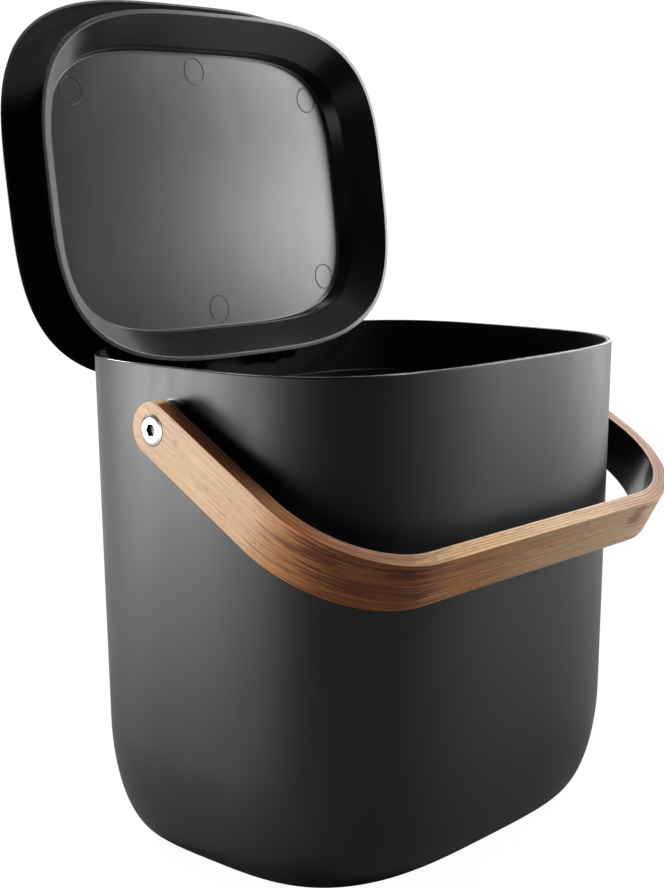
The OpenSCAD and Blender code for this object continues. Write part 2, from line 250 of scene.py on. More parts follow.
def curve(start, corner, stop, steps):
    """Points of a round that leaves start towards the corner and arrives at stop from it."""
    shares = [k / steps for k in range(steps + 1)]
    return [(1 - u) ** 2 * start + 2 * u * (1 - u) * corner + u ** 2 * stop for u in shares]


def filleted(profile, setbacks, steps=6):
    """Rounds the corners of a profile whose points are [half width, half depth, height, power, shift].
    setbacks gives how far each corner's round starts from the corner; 0 leaves it sharp. A point a little
    before and after each round keeps what lies beside it flat."""
    hold = 1.7
    points = [np.array(p, float) for p in profile]
    out = []
    for i, p in enumerate(points):
        d = setbacks[i]
        if d <= 0:
            out.append(p)
            continue
        legs = []
        for q in (points[i - 1], points[(i + 1) % len(points)]):
            legs.append((q - p) / math.hypot(q[0] - p[0], q[2] - p[2]))
        out.append(p + legs[0] * d * hold)
        out += curve(p + legs[0] * d, p, p + legs[1] * d, steps)
        out.append(p + legs[1] * d * hold)
    return out


def new_object(name, bm, smooth=True):
    mesh = bpy.data.meshes.new(name)
    bmesh.ops.recalc_face_normals(bm, faces=bm.faces)
    bm.to_mesh(mesh)
    bm.free()
    if smooth:
        mesh.shade_smooth()
    obj = bpy.data.objects.new(name, mesh)
    bpy.context.scene.collection.objects.link(obj)
    return obj


def add_loft(bm, rings, closed=False, place=None):
    """Joins rings of points into a skin. An open skin is closed by a face at each end."""
    place = place or Matrix.Identity(4)
    rows = [[bm.verts.new(place @ Vector(p)) for p in ring] for ring in rings]
    pairs = list(zip(rows, rows[1:] + rows[:1])) if closed else list(zip(rows, rows[1:]))
    for low, high in pairs:
        n = len(low)
        for i in range(n):
            j = (i + 1) % n
            bm.faces.new((low[i], low[j], high[j], high[i]))
    if not closed:
        bm.faces.new(rows[0][::-1])
        bm.faces.new(rows[-1])


def loft_profile(bm, profile, closed=False, place=None):
    add_loft(bm, [outline(*p) for p in profile], closed, place)


def full_turn(count):
    return np.linspace(0, 2 * math.pi, count, endpoint=False)


def round_ring(radius, height, angles):
    """Points about Z at one height, with one radius for all angles or one for each."""
    return np.stack([radius * np.cos(angles), radius * np.sin(angles), np.full(len(angles), height)], 1)


def lathe(bm, profile, place, count=96, closed=False):
    """Turns a profile of [radius, height] about Z and puts it in place. A closed profile makes a ring."""
    angles = full_turn(count)
    add_loft(bm, [round_ring(r, h, angles) for r, h in profile], closed, place)


def round_corners(profile, setbacks, steps=4):
    """filleted() for a lathe's profile of [radius, height]."""
    wide = [[r, r, h, 2, 0] for r, h in profile]
    return [[p[0], p[2]] for p in filleted(wide, setbacks, steps)]


def along_x(x, y, z, side=1):
    """Turns Z to point along X, outwards on that side, with the origin at x, y, z."""
    return Matrix.Translation((x, y, z)) @ Matrix.Rotation(side * math.pi / 2, 4, "Y")


def extrude_block(bm, outline_yz, x_low, x_high, place):
    """Prism along X through an outline of (y, z) points."""
    add_loft(bm, [[(x, y, z) for y, z in outline_yz] for x in (x_low, x_high)], place=place)


def flat_rings(edge, shares):
    """Rings that carry a flat face in from its edge, at shares of the edge's half width and depth."""
    return [[edge[0] * s, edge[1] * s, edge[2], edge[3], edge[4]] for s in shares]


# --- the bin --------------------------------------------------------------------------------

def foot_curl(z, height, top):
    """How far the rounded foot of the wall lies inside the wall's own slope."""
    if z >= top:
        return 0.0
    return FOOT_IN * (1 - math.sqrt(max(0.0, 1 - ((top - z) / height) ** 2)))


def outer_ring(z):
    inset = DRAFT * (BIN_H - z) + foot_curl(z, FOOT_H, FOOT_H)
    return [HALF_W - inset, HALF_D - inset, z, RIM_POWER, 0]


def inner_ring(z, more=0.0):
    inset = DRAFT * (BIN_H - z) + WALL + foot_curl(z, FOOT_H - FLOOR_T, FOOT_H) + more
    return [HALF_W - inset, HALF_D - inset, z, RIM_POWER, 0]


def foot_heights(low, count=22):
    return [low + (FOOT_H - low) * (1 - math.cos(math.pi / 2 * k / count)) for k in range(count + 1)]


def wall_heights(count=8):
    return [FOOT_H + (WALL_TOP - FOOT_H) * k / count for k in range(1, count + 1)]


def bin_shell(bm):
    rim = [outer_ring(RIM_FOOT), outer_ring(BIN_H), inner_ring(BIN_H), inner_ring(RIM_FOOT)]
    profile = flat_rings(outer_ring(0), FLOOR_SHARES)
    profile += [outer_ring(z) for z in foot_heights(0) + wall_heights()]
    profile += filleted(rim, [0, RIM_ROUND, RIM_ROUND, 0], 5)
    profile += [inner_ring(z) for z in (foot_heights(FLOOR_T) + wall_heights())[::-1]]
    profile += flat_rings(inner_ring(FLOOR_T), FLOOR_SHARES[::-1])
    loft_profile(bm, profile)


def ledge(bm, x, turn):
    """One ledge of the bag ring, rooted in the wall whose inner face lies at x before the turn."""
    tip = -(RING_GAP + RING_T + LEDGE_MORE)
    section = [(WALL / 2, RING_FOOT - LEDGE_H), (WALL / 2, RING_FOOT),
               (tip, RING_FOOT), (tip, RING_FOOT - LEDGE_TIP_T)]
    place = turn @ Matrix.Rotation(-math.pi / 2, 4, "Z")
    extrude_block(bm, [(x + y, z) for y, z in section], -LEDGE_W / 2, LEDGE_W / 2, place)


def ledges(bm):
    wall = inner_ring(RING_FOOT)
    reach = reach_at(LEDGE_X + LEDGE_W / 2, wall[0], wall[1], RIM_POWER)
    for side in (0, math.pi):
        turn = Matrix.Rotation(side, 4, "Z")
        ledge(bm, wall[0], turn)
        quarter = turn @ Matrix.Rotation(math.pi / 2, 4, "Z")
        for x in (-LEDGE_X, LEDGE_X):
            ledge(bm, reach, Matrix.Translation((x, 0, 0)) @ quarter)


def boss(bm, side):
    """A pivot boss, rooted in the middle of the wall, with a flared foot and the insert's hole."""
    root = outer_ring(PIVOT.z)[0] - WALL / 2
    length = BOSS_FACE - root
    foot_r = BOSS_R + BOSS_FLARE
    profile = [[foot_r, 0], [foot_r, WALL / 2], [BOSS_R, WALL / 2 + BOSS_FLARE],
               [BOSS_R, length], [INSERT_R, length], [INSERT_R, length - INSERT_HOLE_L]]
    profile = round_corners(profile, [0, 0, BOSS_FLARE * 0.6, BOSS_ROUND, BOSS_ROUND, 0])
    lathe(bm, profile, along_x(side * root, 0, PIVOT.z, side))


def lug(bm, x):
    """A hinge lug, rooted in the rear wall and round about the pin's hole."""
    wall = inner_ring(LID_AXIS.z)
    reach = reach_at(abs(x) + LUG_T / 2, wall[0], wall[1], RIM_POWER) + WALL / 2 - LID_AXIS.y
    half_turn = np.linspace(0, math.pi, LUG_ROUND_STEPS + 1)
    section = [(reach * (1 - k / LUG_FLAT_STEPS), LUG_R) for k in range(LUG_FLAT_STEPS)]
    section += [(-LUG_R * math.sin(a), LUG_R * math.cos(a)) for a in half_turn]
    section += [(reach * k / LUG_FLAT_STEPS, -LUG_R) for k in range(1, LUG_FLAT_STEPS + 1)]
    section += [(reach, LUG_R * (2 * k / LUG_END_STEPS - 1)) for k in range(1, LUG_END_STEPS)]
    turns = [math.atan2(z, y) for y, z in section]
    bore = [(PIN_HOLE_R * math.cos(a), PIN_HOLE_R * math.sin(a)) for a in turns]
    low, high = x - LUG_T / 2, x + LUG_T / 2
    rings = [[(at, y, z) for y, z in ring]
             for at, ring in ((low, section), (high, section), (high, bore), (low, bore))]
    add_loft(bm, rings, closed=True, place=Matrix.Translation((0, LID_AXIS.y, LID_AXIS.z)))


def bin_body():
    bm = bmesh.new()
    bin_shell(bm)
    ledges(bm)
    for side in (-1, 1):
        boss(bm, side)
        for end in (-1, 1):
            lug(bm, side * HINGE_X + end * (KNUCKLE_W / 2 + KNUCKLE_GAP + LUG_T / 2))
    return new_object("bin", bm)


def bag_ring():
    profile = [inner_ring(RING_FOOT, RING_GAP), inner_ring(RING_TOP, RING_GAP),
               inner_ring(RING_TOP, RING_GAP + RING_T), inner_ring(RING_FOOT, RING_GAP + RING_T)]
    bm = bmesh.new()
    loft_profile(bm, filleted(profile, [RING_ROUND] * 4, 4), closed=True)
    return new_object("bag_ring_smooth", bm)


# --- the lid, made shut and then swung open -------------------------------------------------

OPENED = (Matrix.Translation(LID_AXIS) @ Matrix.Rotation(-LID_OPEN, 4, "X") @ Matrix.Translation(-LID_AXIS))


def crown(inset):
    """Height of the cover's outside above the lid plane, that far in from its edge."""
    return EDGE_H + CROWN_H * (1 - (1 - inset / HALF_D) ** CROWN_POWER)


def shell_t(inset):
    return COVER_EDGE_T + (COVER_T - COVER_EDGE_T) * min(1.0, inset / THINNED_W)


def cover_ring(inset, rise):
    return [HALF_W - inset, HALF_D - inset, LID_Z + rise, RIM_POWER, 0]


def crown_insets():
    """Where the cover's rings lie: close together at the bend, then evenly over the flat top."""
    bend = [(k / CROWN_BEND_STEPS) ** CROWN_CROWDING for k in range(1, CROWN_BEND_STEPS + 1)]
    top = [k / CROWN_TOP_STEPS for k in range(1, CROWN_TOP_STEPS + 1)]
    insets = [LIP_T + (CROWN_BEND_IN - LIP_T) * share for share in bend]
    return insets + [CROWN_BEND_IN + (CROWN_TOP_IN - CROWN_BEND_IN) * share for share in top]


def cover_shell(bm):
    insets = crown_insets()
    middle = insets[-1]
    lip = [cover_ring(LIP_T, crown(LIP_T) - shell_t(LIP_T)), cover_ring(LIP_T, 0), cover_ring(0, 0),
           cover_ring(0, EDGE_H), cover_ring(insets[0], crown(insets[0]))]
    profile = flat_rings(cover_ring(middle, crown(middle) - COVER_T), COVER_SHARES)
    profile += [cover_ring(s, crown(s) - shell_t(s)) for s in insets[::-1]]
    profile += filleted(lip, [0, *LIP_ROUNDS, 0], 4)
    profile += [cover_ring(s, crown(s)) for s in insets[1:]]
    profile += flat_rings(cover_ring(middle, crown(middle)), COVER_SHARES[::-1])
    loft_profile(bm, profile, place=OPENED)


def weld_rib(bm):
    """The rib between cover and liner, which stands on the liner and runs a little way into the cover."""
    foot = LINER_TOP - LID_Z
    top = crown(RIB_IN) - COVER_T + RIB_SUNK
    profile = [cover_ring(RIB_IN, foot), cover_ring(RIB_IN, top),
               cover_ring(RIB_IN + RIB_T, top), cover_ring(RIB_IN + RIB_T, foot)]
    loft_profile(bm, profile, closed=True, place=OPENED)


def lid_cover():
    bm = bmesh.new()
    cover_shell(bm)
    weld_rib(bm)
    top = LID_Z + crown(CROWN_TOP_IN) - COVER_T + POST_SUNK
    for x, y in POST_PLACES:
        place = OPENED @ Matrix.Translation((x, y + LINER_BACK, LINER_TOP))
        lathe(bm, [[POST_R, 0], [POST_R, top - LINER_TOP]], place, AROUND_POST)
    return new_object("lid_cover_smooth", bm)


def liner_ring(half, drop, power, more=0.0):
    return [half[0] + more, half[1] + more, LID_Z - drop, power, LINER_BACK]


def liner_shell(bm):
    """The recessed panel, its step and its flared skirt. The skin runs from the panel's underside round
    the skirt's tip to the panel's top."""
    profile = [
        liner_ring(PANEL_HALF, PANEL_DROP, PANEL_POWER),
        liner_ring(STEP_HALF, STEP_DROP, PANEL_POWER),
        liner_ring(TIP_HALF, TIP_DROP, RIM_POWER, -TIP_T),
        liner_ring(TIP_HALF, TIP_DROP, RIM_POWER),
        liner_ring(STEP_HALF, STEP_DROP - SKIRT_T / 2, PANEL_POWER, SKIRT_T),
        liner_ring(PANEL_HALF, PANEL_DROP - PANEL_T, PANEL_POWER, SKIRT_T)]
    before, after = [flat_rings(ring, (0.6,)) for ring in (profile[0], profile[-1])]
    skin = flat_rings(profile[0], PANEL_SHARES)
    skin += filleted(before + profile + after, [0, *LINER_ROUNDS, 0], 6)
    skin += flat_rings(profile[-1], BACK_SHARES)
    loft_profile(bm, skin, place=OPENED)


def weld_marks(bm):
    """Thin raised rings on the panel, one below each post but the left one next to the hinge."""
    section = [[POST_R - MARK_FOOT, -MARK_SUNK], [POST_R - MARK_TOP, MARK_H],
               [POST_R + MARK_TOP, MARK_H], [POST_R + MARK_FOOT, -MARK_SUNK]]
    for x, y in POST_PLACES:
        if x < 0 < y:
            continue
        panel = Matrix.Translation((x, y + LINER_BACK, LID_Z - PANEL_DROP))
        lathe(bm, section, OPENED @ panel @ Matrix.Rotation(math.pi, 4, "X"), AROUND_MARK, closed=True)


def wall_mid(drop):
    """Depth coordinate of the middle of the liner's rear wall at a depth below the lid plane."""
    if drop < STEP_DROP:
        lean = (STEP_HALF[1] - PANEL_HALF[1]) * (STEP_DROP - drop) / (STEP_DROP - PANEL_DROP)
        return LINER_BACK + SKIRT_T / 2 + STEP_HALF[1] - lean
    flare = (TIP_HALF[1] - TIP_T - STEP_HALF[1]) * (drop - STEP_DROP) / (TIP_DROP - STEP_DROP)
    return LINER_BACK + SKIRT_T / 2 + STEP_HALF[1] + flare


def lid_arm(bm, side):
    """The arm from the liner's rear wall to the hinge axis, and the knuckle at its end."""
    axis_drop = LID_Z - LID_AXIS.z
    drops = [axis_drop - ARM_HALF_H, STEP_DROP, axis_drop + ARM_HALF_H]
    wall = [(wall_mid(d) - LID_AXIS.y, axis_drop - d) for d in drops]
    place = OPENED @ Matrix.Translation((side * HINGE_X, LID_AXIS.y, LID_AXIS.z))
    extrude_block(bm, wall + [(0, -ARM_HALF_H), (0, ARM_HALF_H)], -KNUCKLE_W / 2, KNUCKLE_W / 2, place)
    knuckle = [[KNUCKLE_R, 0], [KNUCKLE_R, KNUCKLE_W]]
    lathe(bm, knuckle, place @ along_x(-KNUCKLE_W / 2, 0, 0), AROUND_KNUCKLE)


def lid_liner():
    bm = bmesh.new()
    liner_shell(bm)
    weld_marks(bm)
    for side in (-1, 1):
        lid_arm(bm, side)
    return new_object("lid_liner_smooth", bm)


# --- the bow handle ---------------------------------------------------------------------------

LOWERED = Matrix.Translation(PIVOT) @ Matrix.Rotation(BOW_REST, 4, "X")


def bow_path(inset):
    """Points and outward normals along one face of the bow, in its own flat plane. The path starts at the
    left end, half a strip's width behind the pivot, and ends at the right one."""
    half = BOW_HALF_W - inset
    reach = BOW_REACH - inset
    r = BOW_CORNER_R - inset
    straight = reach - r
    centre_x = half - r
    end = STRIP_W / 2

    def bend(x, start):
        turns = [start + math.pi / 2 * k / BEND_STEPS for k in range(BEND_STEPS + 1)]
        normals = [(math.cos(a), math.sin(a)) for a in turns]
        return [((x + r * cos, r * sin - straight), (cos, sin)) for cos, sin in normals]

    arm = [end - end * (1 - math.cos(math.pi / 2 * k / END_STEPS)) for k in range(END_STEPS + 1)]
    arm += [-straight * k / ARM_STEPS for k in range(1, ARM_STEPS)]
    path = [((-half, y), (-1, 0)) for y in arm]
    path += bend(-centre_x, math.pi)
    path += [((2 * centre_x * k / BAR_STEPS - centre_x, -reach), (0, -1)) for k in range(1, BAR_STEPS)]
    path += bend(centre_x, 3 * math.pi / 2)
    path += [((half, y), (1, 0)) for y in arm[::-1]]
    return path


def strip_coordinates(x, y, w):
    """Run along the bow's outer face from the left end, place across the strip and depth below the
    outer face."""
    side = abs(x)
    if y > -BOW_STRAIGHT:
        run, depth = STRIP_W / 2 - y, BOW_HALF_W - side
    elif side < BOW_CENTRE_X:
        run, depth = ARM_RUN + BEND_RUN + BOW_CENTRE_X - side, BOW_REACH + y
    else:
        angle = math.atan2(-y - BOW_STRAIGHT, side - BOW_CENTRE_X)
        run = ARM_RUN + BOW_CORNER_R * angle
        depth = BOW_CORNER_R - math.hypot(side - BOW_CENTRE_X, y + BOW_STRAIGHT)
    return (run if x < 0 else BOW_RUN - run, w, depth)


def half_width_at(y, past_arm):
    """Half the strip's width, which runs out in a half circle about the pivot."""
    if past_arm or y <= 0:
        return STRIP_W / 2
    return max(math.sqrt(max(0.0, (STRIP_W / 2) ** 2 - y ** 2)), LEAST_HALF_W)


def soften(section, setbacks, steps=3):
    """Rounds the corners of a small closed section of [out, across] points. A point before and after each
    round keeps the flats beside it flat."""
    out = []
    for i, p in enumerate(section):
        p = np.array(p)
        ends = []
        for q in (np.array(section[i - 1]), np.array(section[(i + 1) % len(section)])):
            length = np.linalg.norm(q - p)
            leg = (q - p) / length
            hold = min(SOFT_HOLD, (length / 2 - setbacks[i]) * 0.5)
            ends.append((p + leg * (setbacks[i] + hold), p + leg * setbacks[i]))
        (before, start), (after, stop) = ends
        out += [before] + curve(start, p, stop, steps) + [after]
    return out


def drill(obj, radius, x, depth):
    """Cuts one round hole through each arm, centred on the pivot's axis at plus and minus x."""
    bm = bmesh.new()
    for side in (-1, 1):
        lathe(bm, [[radius, 0], [radius, depth]], along_x(side * (x - depth / 2), 0, 0, side))
    cutter = new_object("cutter", bm)
    holes = obj.modifiers.new("holes", "BOOLEAN")
    holes.operation = "DIFFERENCE"
    holes.solver = "EXACT"
    holes.object = cutter
    whole = obj.data
    obj.data = bpy.data.meshes.new_from_object(obj.evaluated_get(bpy.context.evaluated_depsgraph_get()))
    obj.data.name = whole.name
    obj.modifiers.clear()
    bpy.data.meshes.remove(whole)
    bpy.data.objects.remove(cutter)
    obj.data.set_sharp_from_angle(angle=SHARP_WOOD)


def ply(number):
    """One ply of the bow as a closed strip, with softened edges on the bow's outer and inner faces."""
    out_soft = BOW_SOFT if number == 1 else PLY_SOFT
    in_soft = BOW_SOFT if number == PLIES else PLY_SOFT
    rows = []
    for (x, y), (nx, ny) in bow_path((number - 1) * (PLY_T + GLUE_T)):
        h = half_width_at(y, ny != 0)
        section = [[0.0, -h], [0.0, h], [-PLY_T, h], [-PLY_T, -h]]
        most = h * MOST_SOFT
        setbacks = [min(soft, most) for soft in (out_soft, out_soft, in_soft, in_soft)]
        section = soften(section, setbacks)
        rows.append([Vector((x + nx * d, y + ny * d, w)) for d, w in section])
    bm = bmesh.new()
    add_loft(bm, rows)
    obj = new_object(f"bow_ply_{number}", bm)
    hole_r = HEAD_R + HEAD_ROOM if number == 1 else BUSH_HOLE_R
    drill(obj, hole_r, BOW_HALF_W - BOW_DEPTH / 2, DRILL_DEPTH)
    strip = [strip_coordinates(*v.co) for v in obj.data.vertices]
    obj.data.transform(LOWERED)
    attribute = obj.data.attributes.new("strip", "FLOAT_VECTOR", "POINT")
    attribute.data.foreach_set("vector", np.array(strip, np.float32).ravel())
    return obj


# --- the pivot screws ---------------------------------------------------------------------------

def hex_radius(angle):
    """Radius of the socket's hexagon at an angle."""
    sixth = math.pi / 3
    return SOCKET_AF / 2 / math.cos((angle % sixth) - sixth / 2)


def screw(side):
    """A pivot screw: a turned shank and head, then a hexagonal socket with a bevelled mouth. A row above and
    below the bevel keeps what lies beside it flat."""
    angles = full_turn(AROUND_SCREW)
    hexagon = np.array([hex_radius(a + math.pi / 6) for a in angles])
    turned = [[SHANK_R - SHANK_BEVEL, -SHANK_L], [SHANK_R, SHANK_BEVEL - SHANK_L], [SHANK_R, 0],
              [HEAD_R, 0], [HEAD_R, HEAD_H - HEAD_CHAMFER_H], [HEAD_R - HEAD_CHAMFER_W, HEAD_H],
              [HEAD_R - HEAD_FLAT_IN, HEAD_H]]
    turned = round_corners(turned, [0, 0, 0, *HEAD_ROUNDS, 0])
    mouth = [(SOCKET_BEVEL + SOCKET_HOLD, HEAD_H), (SOCKET_BEVEL, HEAD_H), (0, HEAD_H - SOCKET_BEVEL),
             (0, HEAD_H - SOCKET_BEVEL * 1.6), (0, HEAD_H - SOCKET_DEPTH)]
    rings = [round_ring(r, h, angles) for r, h in turned]
    rings += [round_ring(hexagon + grow, h, angles) for grow, h in mouth]
    rings.append(round_ring(SOCKET_CONE_R, HEAD_H - SOCKET_DEPTH - SOCKET_CONE_H, angles))
    bm = bmesh.new()
    add_loft(bm, rings, place=along_x(side * HEAD_SEAT, 0, PIVOT.z, side))
    obj = new_object("pivot_screw_" + ("left" if side < 0 else "right"), bm)
    obj.data.set_sharp_from_angle(angle=SHARP_STEEL)
    return obj


# --- materials ------------------------------------------------------------------------------------

class Nodes:
    """A small helper that adds and links shader nodes."""

    def __init__(self, name):
        self.material = bpy.data.materials.new(name)
        self.material.use_nodes = True
        self.tree = self.material.node_tree
        self.tree.nodes.clear()
        self.out = self.add("ShaderNodeOutputMaterial")
        self.bsdf = self.add("ShaderNodeBsdfPrincipled")
        self.link(self.bsdf.outputs[0], self.out.inputs["Surface"])

    def add(self, kind, **settings):
        node = self.tree.nodes.new(kind)
        for key, value in settings.items():
            if hasattr(node, key):
                setattr(node, key, value)
            else:
                node.inputs[key.replace("_", " ")].default_value = value
        return node

    def link(self, a, b):
        self.tree.links.new(a, b)

    def coords(self, scale=(1, 1, 1), attribute=None):
        """Coordinates in millimetres, stretched by scale."""
        if attribute:
            source = self.add("ShaderNodeAttribute", attribute_name=attribute).outputs["Vector"]
        else:
            source = self.add("ShaderNodeTexCoord").outputs["Object"]
        mapping = self.add("ShaderNodeMapping")
        mapping.inputs["Scale"].default_value = [s / MM for s in scale]
        self.link(source, mapping.inputs["Vector"])
        return mapping.outputs["Vector"]

    def axes(self, vector):
        """A vector's three coordinates."""
        node = self.add("ShaderNodeSeparateXYZ")
        self.link(vector, node.inputs[0])
        return node.outputs

    def length(self, vector):
        node = self.add("ShaderNodeVectorMath", operation="LENGTH")
        self.link(vector, node.inputs[0])
        return node.outputs["Value"]

    def absolute(self, value):
        node = self.add("ShaderNodeMath", operation="ABSOLUTE")
        self.link(value, node.inputs[0])
        return node.outputs[0]

    def noise(self, vector, scale, detail=4.0, roughness=0.5, distortion=0.0):
        """Noise along coordinates in millimetres; at scale 1 its features are about a millimetre apart."""
        node = self.add("ShaderNodeTexNoise", Scale=scale, Detail=detail, Roughness=roughness,
                        Distortion=distortion)
        self.link(vector, node.inputs["Vector"])
        return node.outputs["Fac"]

    def ramp(self, value, stops):
        """Maps a value to colours or grey levels; stops are (position, colour)."""
        node = self.add("ShaderNodeValToRGB")
        band = node.color_ramp
        while len(band.elements) < len(stops):
            band.elements.new(0.5)
        for element, (position, colour) in zip(band.elements, stops):
            element.position = position
            grey = isinstance(colour, (int, float))
            element.color = (colour, colour, colour, 1) if grey else (*colour, 1)
        self.link(value, node.inputs["Fac"])
        return node.outputs["Color"]

    def span(self, value, low, high, start=0.0, stop=1.0):
        """Maps start..stop to low..high."""
        node = self.add("ShaderNodeMapRange")
        for socket, number in (("From Min", start), ("From Max", stop), ("To Min", low), ("To Max", high)):
            node.inputs[socket].default_value = number
        self.link(value, node.inputs["Value"])
        return node.outputs["Result"]

    def vector_math(self, operation, vector, by):
        node = self.add("ShaderNodeVectorMath", operation=operation)
        self.link(vector, node.inputs[0])
        node.inputs[1].default_value = by
        return node.outputs["Vector"]

    def combine(self, operation, a, b):
        node = self.add("ShaderNodeMath", operation=operation)
        self.link(a, node.inputs[0])
        if isinstance(b, (int, float)):
            node.inputs[1].default_value = b
        else:
            self.link(b, node.inputs[1])
        return node.outputs[0]

    def sum(self, a, b):
        return self.combine("ADD", a, b)

    def scale(self, a, b):
        return self.combine("MULTIPLY", a, b)

    def mix(self, share, a, b, blend="MIX"):
        node = self.add("ShaderNodeMix", data_type="RGBA", blend_type=blend)
        for value, socket in ((share, node.inputs["Factor"]), (a, node.inputs["A"]), (b, node.inputs["B"])):
            if isinstance(value, bpy.types.NodeSocket):
                self.link(value, socket)
            elif isinstance(value, (int, float)):
                socket.default_value = value
            else:
                socket.default_value = (*value, 1)
        return node.outputs["Result"]

    def darken(self, share, colour, by):
        """Multiplies a colour by another where share says so."""
        return self.mix(share, colour, by, "MULTIPLY")

    def bump(self, height, distance, strength=1.0, after=None):
        node = self.add("ShaderNodeBump", Strength=strength, Distance=distance)
        self.link(height, node.inputs["Height"])
        if after:
            self.link(after, node.inputs["Normal"])
        return node.outputs["Normal"]


# Grey, roughness and its swing, and the depth of the grain in millimetres
MATTE = {"grey": 0.012, "rough": 0.45, "rough_swing": 0.04, "grain": 0.012}
SMOOTH = {"grey": 0.012, "rough": 0.24, "rough_swing": 0.02, "grain": 0.0006}
RUBBED_ROUGH = 0.2
# How far below the rim the rubbed plastic begins and is wholly smooth
RUBBED_BAND = (0.6 * MM, 0.2 * MM)


def moulded_plastic(name, grey, rough, rough_swing, grain, rim=None):
    """Black moulded plastic: a fine spark-eroded grain, slow waves in the wall and faint handling marks.
    A rim, whose height is given, is rubbed smooth."""
    n = Nodes(name)
    fine = n.noise(n.coords(), 2.6, 3.0, 0.6)
    waves = n.noise(n.coords(), 0.018, 2.0)
    marks = n.noise(n.coords((1, 1, 0.35)), 0.11, 5.0, 0.62)
    clean = (grey * 0.92, grey * 0.92, grey * 0.92)
    handled = (grey * 1.15, grey * 1.15, grey * 1.17)
    tone = n.mix(n.ramp(marks, [(0.35, 0.0), (0.75, 1.0)]), clean, handled)
    n.link(tone, n.bsdf.inputs["Base Color"])
    rough_noise = n.mix(0.35, n.ramp(marks, [(0.3, 0.0), (0.7, 1.0)]), fine)
    roughness = n.span(rough_noise, rough - rough_swing, rough + rough_swing)
    if rim:
        start, stop = [(rim - below) / MM for below in RUBBED_BAND]
        rubbed = n.span(n.axes(n.coords())["Z"], 0.0, 1.0, start, stop)
        roughness = n.mix(rubbed, roughness, (RUBBED_ROUGH,) * 3)
    n.link(roughness, n.bsdf.inputs["Roughness"])
    slow = n.bump(waves, 0.35 * MM, 0.5)
    n.link(n.bump(fine, grain * MM, 1.0, slow), n.bsdf.inputs["Normal"])
    n.bsdf.inputs["Specular IOR Level"].default_value = 0.5
    return n.material


WOOD_TONES = [(0.36, (0.3, 0.11, 0.024)), (0.45, (0.52, 0.255, 0.075)),
              (0.53, (0.66, 0.38, 0.15)), (0.63, (0.8, 0.54, 0.28))]
SLIVER_BROWN = (0.5, 0.21, 0.05)
LINE_BROWN = (0.62, 0.5, 0.42)
BUNDLE_BROWN = (0.2, 0.075, 0.03)
STAIN_BROWN = (0.33, 0.17, 0.12)
GLUE_BROWN = (0.13, 0.05, 0.02)
INNER_BLACK = (0.012, 0.006, 0.005)
INNER_ROUGH = 0.2
# Painted shade: a warmer, deeper tone where the bow lies in shade
SHADE_WARM = (0.98, 0.7, 0.46)
# Painted sheen: a paler tone where the faces catch the light
SHEEN_PALE = (0.98, 0.68, 0.46)
# Painted highlight on the cut edges along the bends and the bar
CUT_HIGHLIGHT = (0.92, 0.62, 0.29)
# Painted shade on the cut edges of the right bend and arm
CUT_SHADE_RIGHT = (0.58, 0.4, 0.25)
# Painted shade on the cut edges of the left arm, where the bin keeps the light off
CUT_SHADE_LEFT = (0.36, 0.22, 0.12)
# How far a glue line shows beside the face that it runs along
GLUE_SEEN = 0.2 * MM
# How far in from the strip's cut edges their colour starts and is full, and the same for the inner face
CUT_BAND = (0.35 * MM, 0.15 * MM)
INNER_BAND = (0.3 * MM, 0.15 * MM)
# Where painted light and shade change the bow's tone: a share of its run from the left end, and the tone's
# strength there.
# In turn: painted shade over the left bend, painted sheen on the faces, a painted highlight on the cut edges
# along
# # the bar, and painted shade on the cut edges of the right and of the left arm
SHADE_WARM_BEND = [(0.15, 0.0), (0.2, 1.0), (0.38, 0.9), (0.5, 0.05)]
SHEEN_PALE_ARMS = [(0.13, 0.22), (0.25, 0.0), (0.43, 0.0), (0.56, 0.3), (0.68, 0.75)]
HIGHLIGHT_CUT = [(0.2, 0.0), (0.32, 0.6), (0.5, 0.4), (0.62, 0.0)]
SHADE_CUT_RIGHT = [(0.6, 0.0), (0.72, 1.0)]
SHADE_CUT_LEFT = [(0.14, 1.0), (0.24, 0.0)]
# Stained places of the bow: run, place across and half lengths, in metres, then how dark and how ragged
STAINS = ((0.126, 0.0, 0.046, 0.03, 0.8, 1.6), (0.104, 0.0065, 0.016, 0.0045, 0.8, 2.4),
          (0.118, -0.002, 0.02, 0.0035, 0.7, 2.6), (0.139, 0.0075, 0.013, 0.003, 0.8, 2.4),
          (0.152, -0.004, 0.016, 0.003, 0.5, 2.4), (0.178, 0.006, 0.014, 0.0025, 0.5, 2.4),
          (0.301, 0.0035, 0.008, 0.006, 0.7, 2.2), (0.334, -0.002, 0.03, 0.02, 0.45, 1.8))


def stained(n, wood, strip, ragged):
    """Wood with its ragged stains, each an ellipse whose edge the noise frays."""
    for along, across, half_run, half_across, dark, rag in STAINS:
        off = n.vector_math("SUBTRACT", strip, (along / MM, across / MM, 0))
        off = n.vector_math("MULTIPLY", off, (MM / half_run, MM / half_across, 0))
        reach = n.sum(n.scale(n.length(off), 0.5), n.scale(ragged, rag))
        wood = n.darken(n.ramp(reach, [(0.22, dark), (0.5, 0.0)]), wood, STAIN_BROWN)
    return wood


def glue_lines(n, wood, below, number):
    """Wood with a thin glue line along each face that meets another ply."""
    top = (number - 1) * (PLY_T + GLUE_T) / MM
    bottom = top + PLY_T / MM
    for edge, inwards, glued in ((top, 1, number > 1), (bottom, -1, number < PLIES)):
        if glued:
            line = n.span(below, 0.8, 0.0, edge, edge + inwards * GLUE_SEEN / MM)
            wood = n.mix(line, wood, GLUE_BROWN)
    return wood


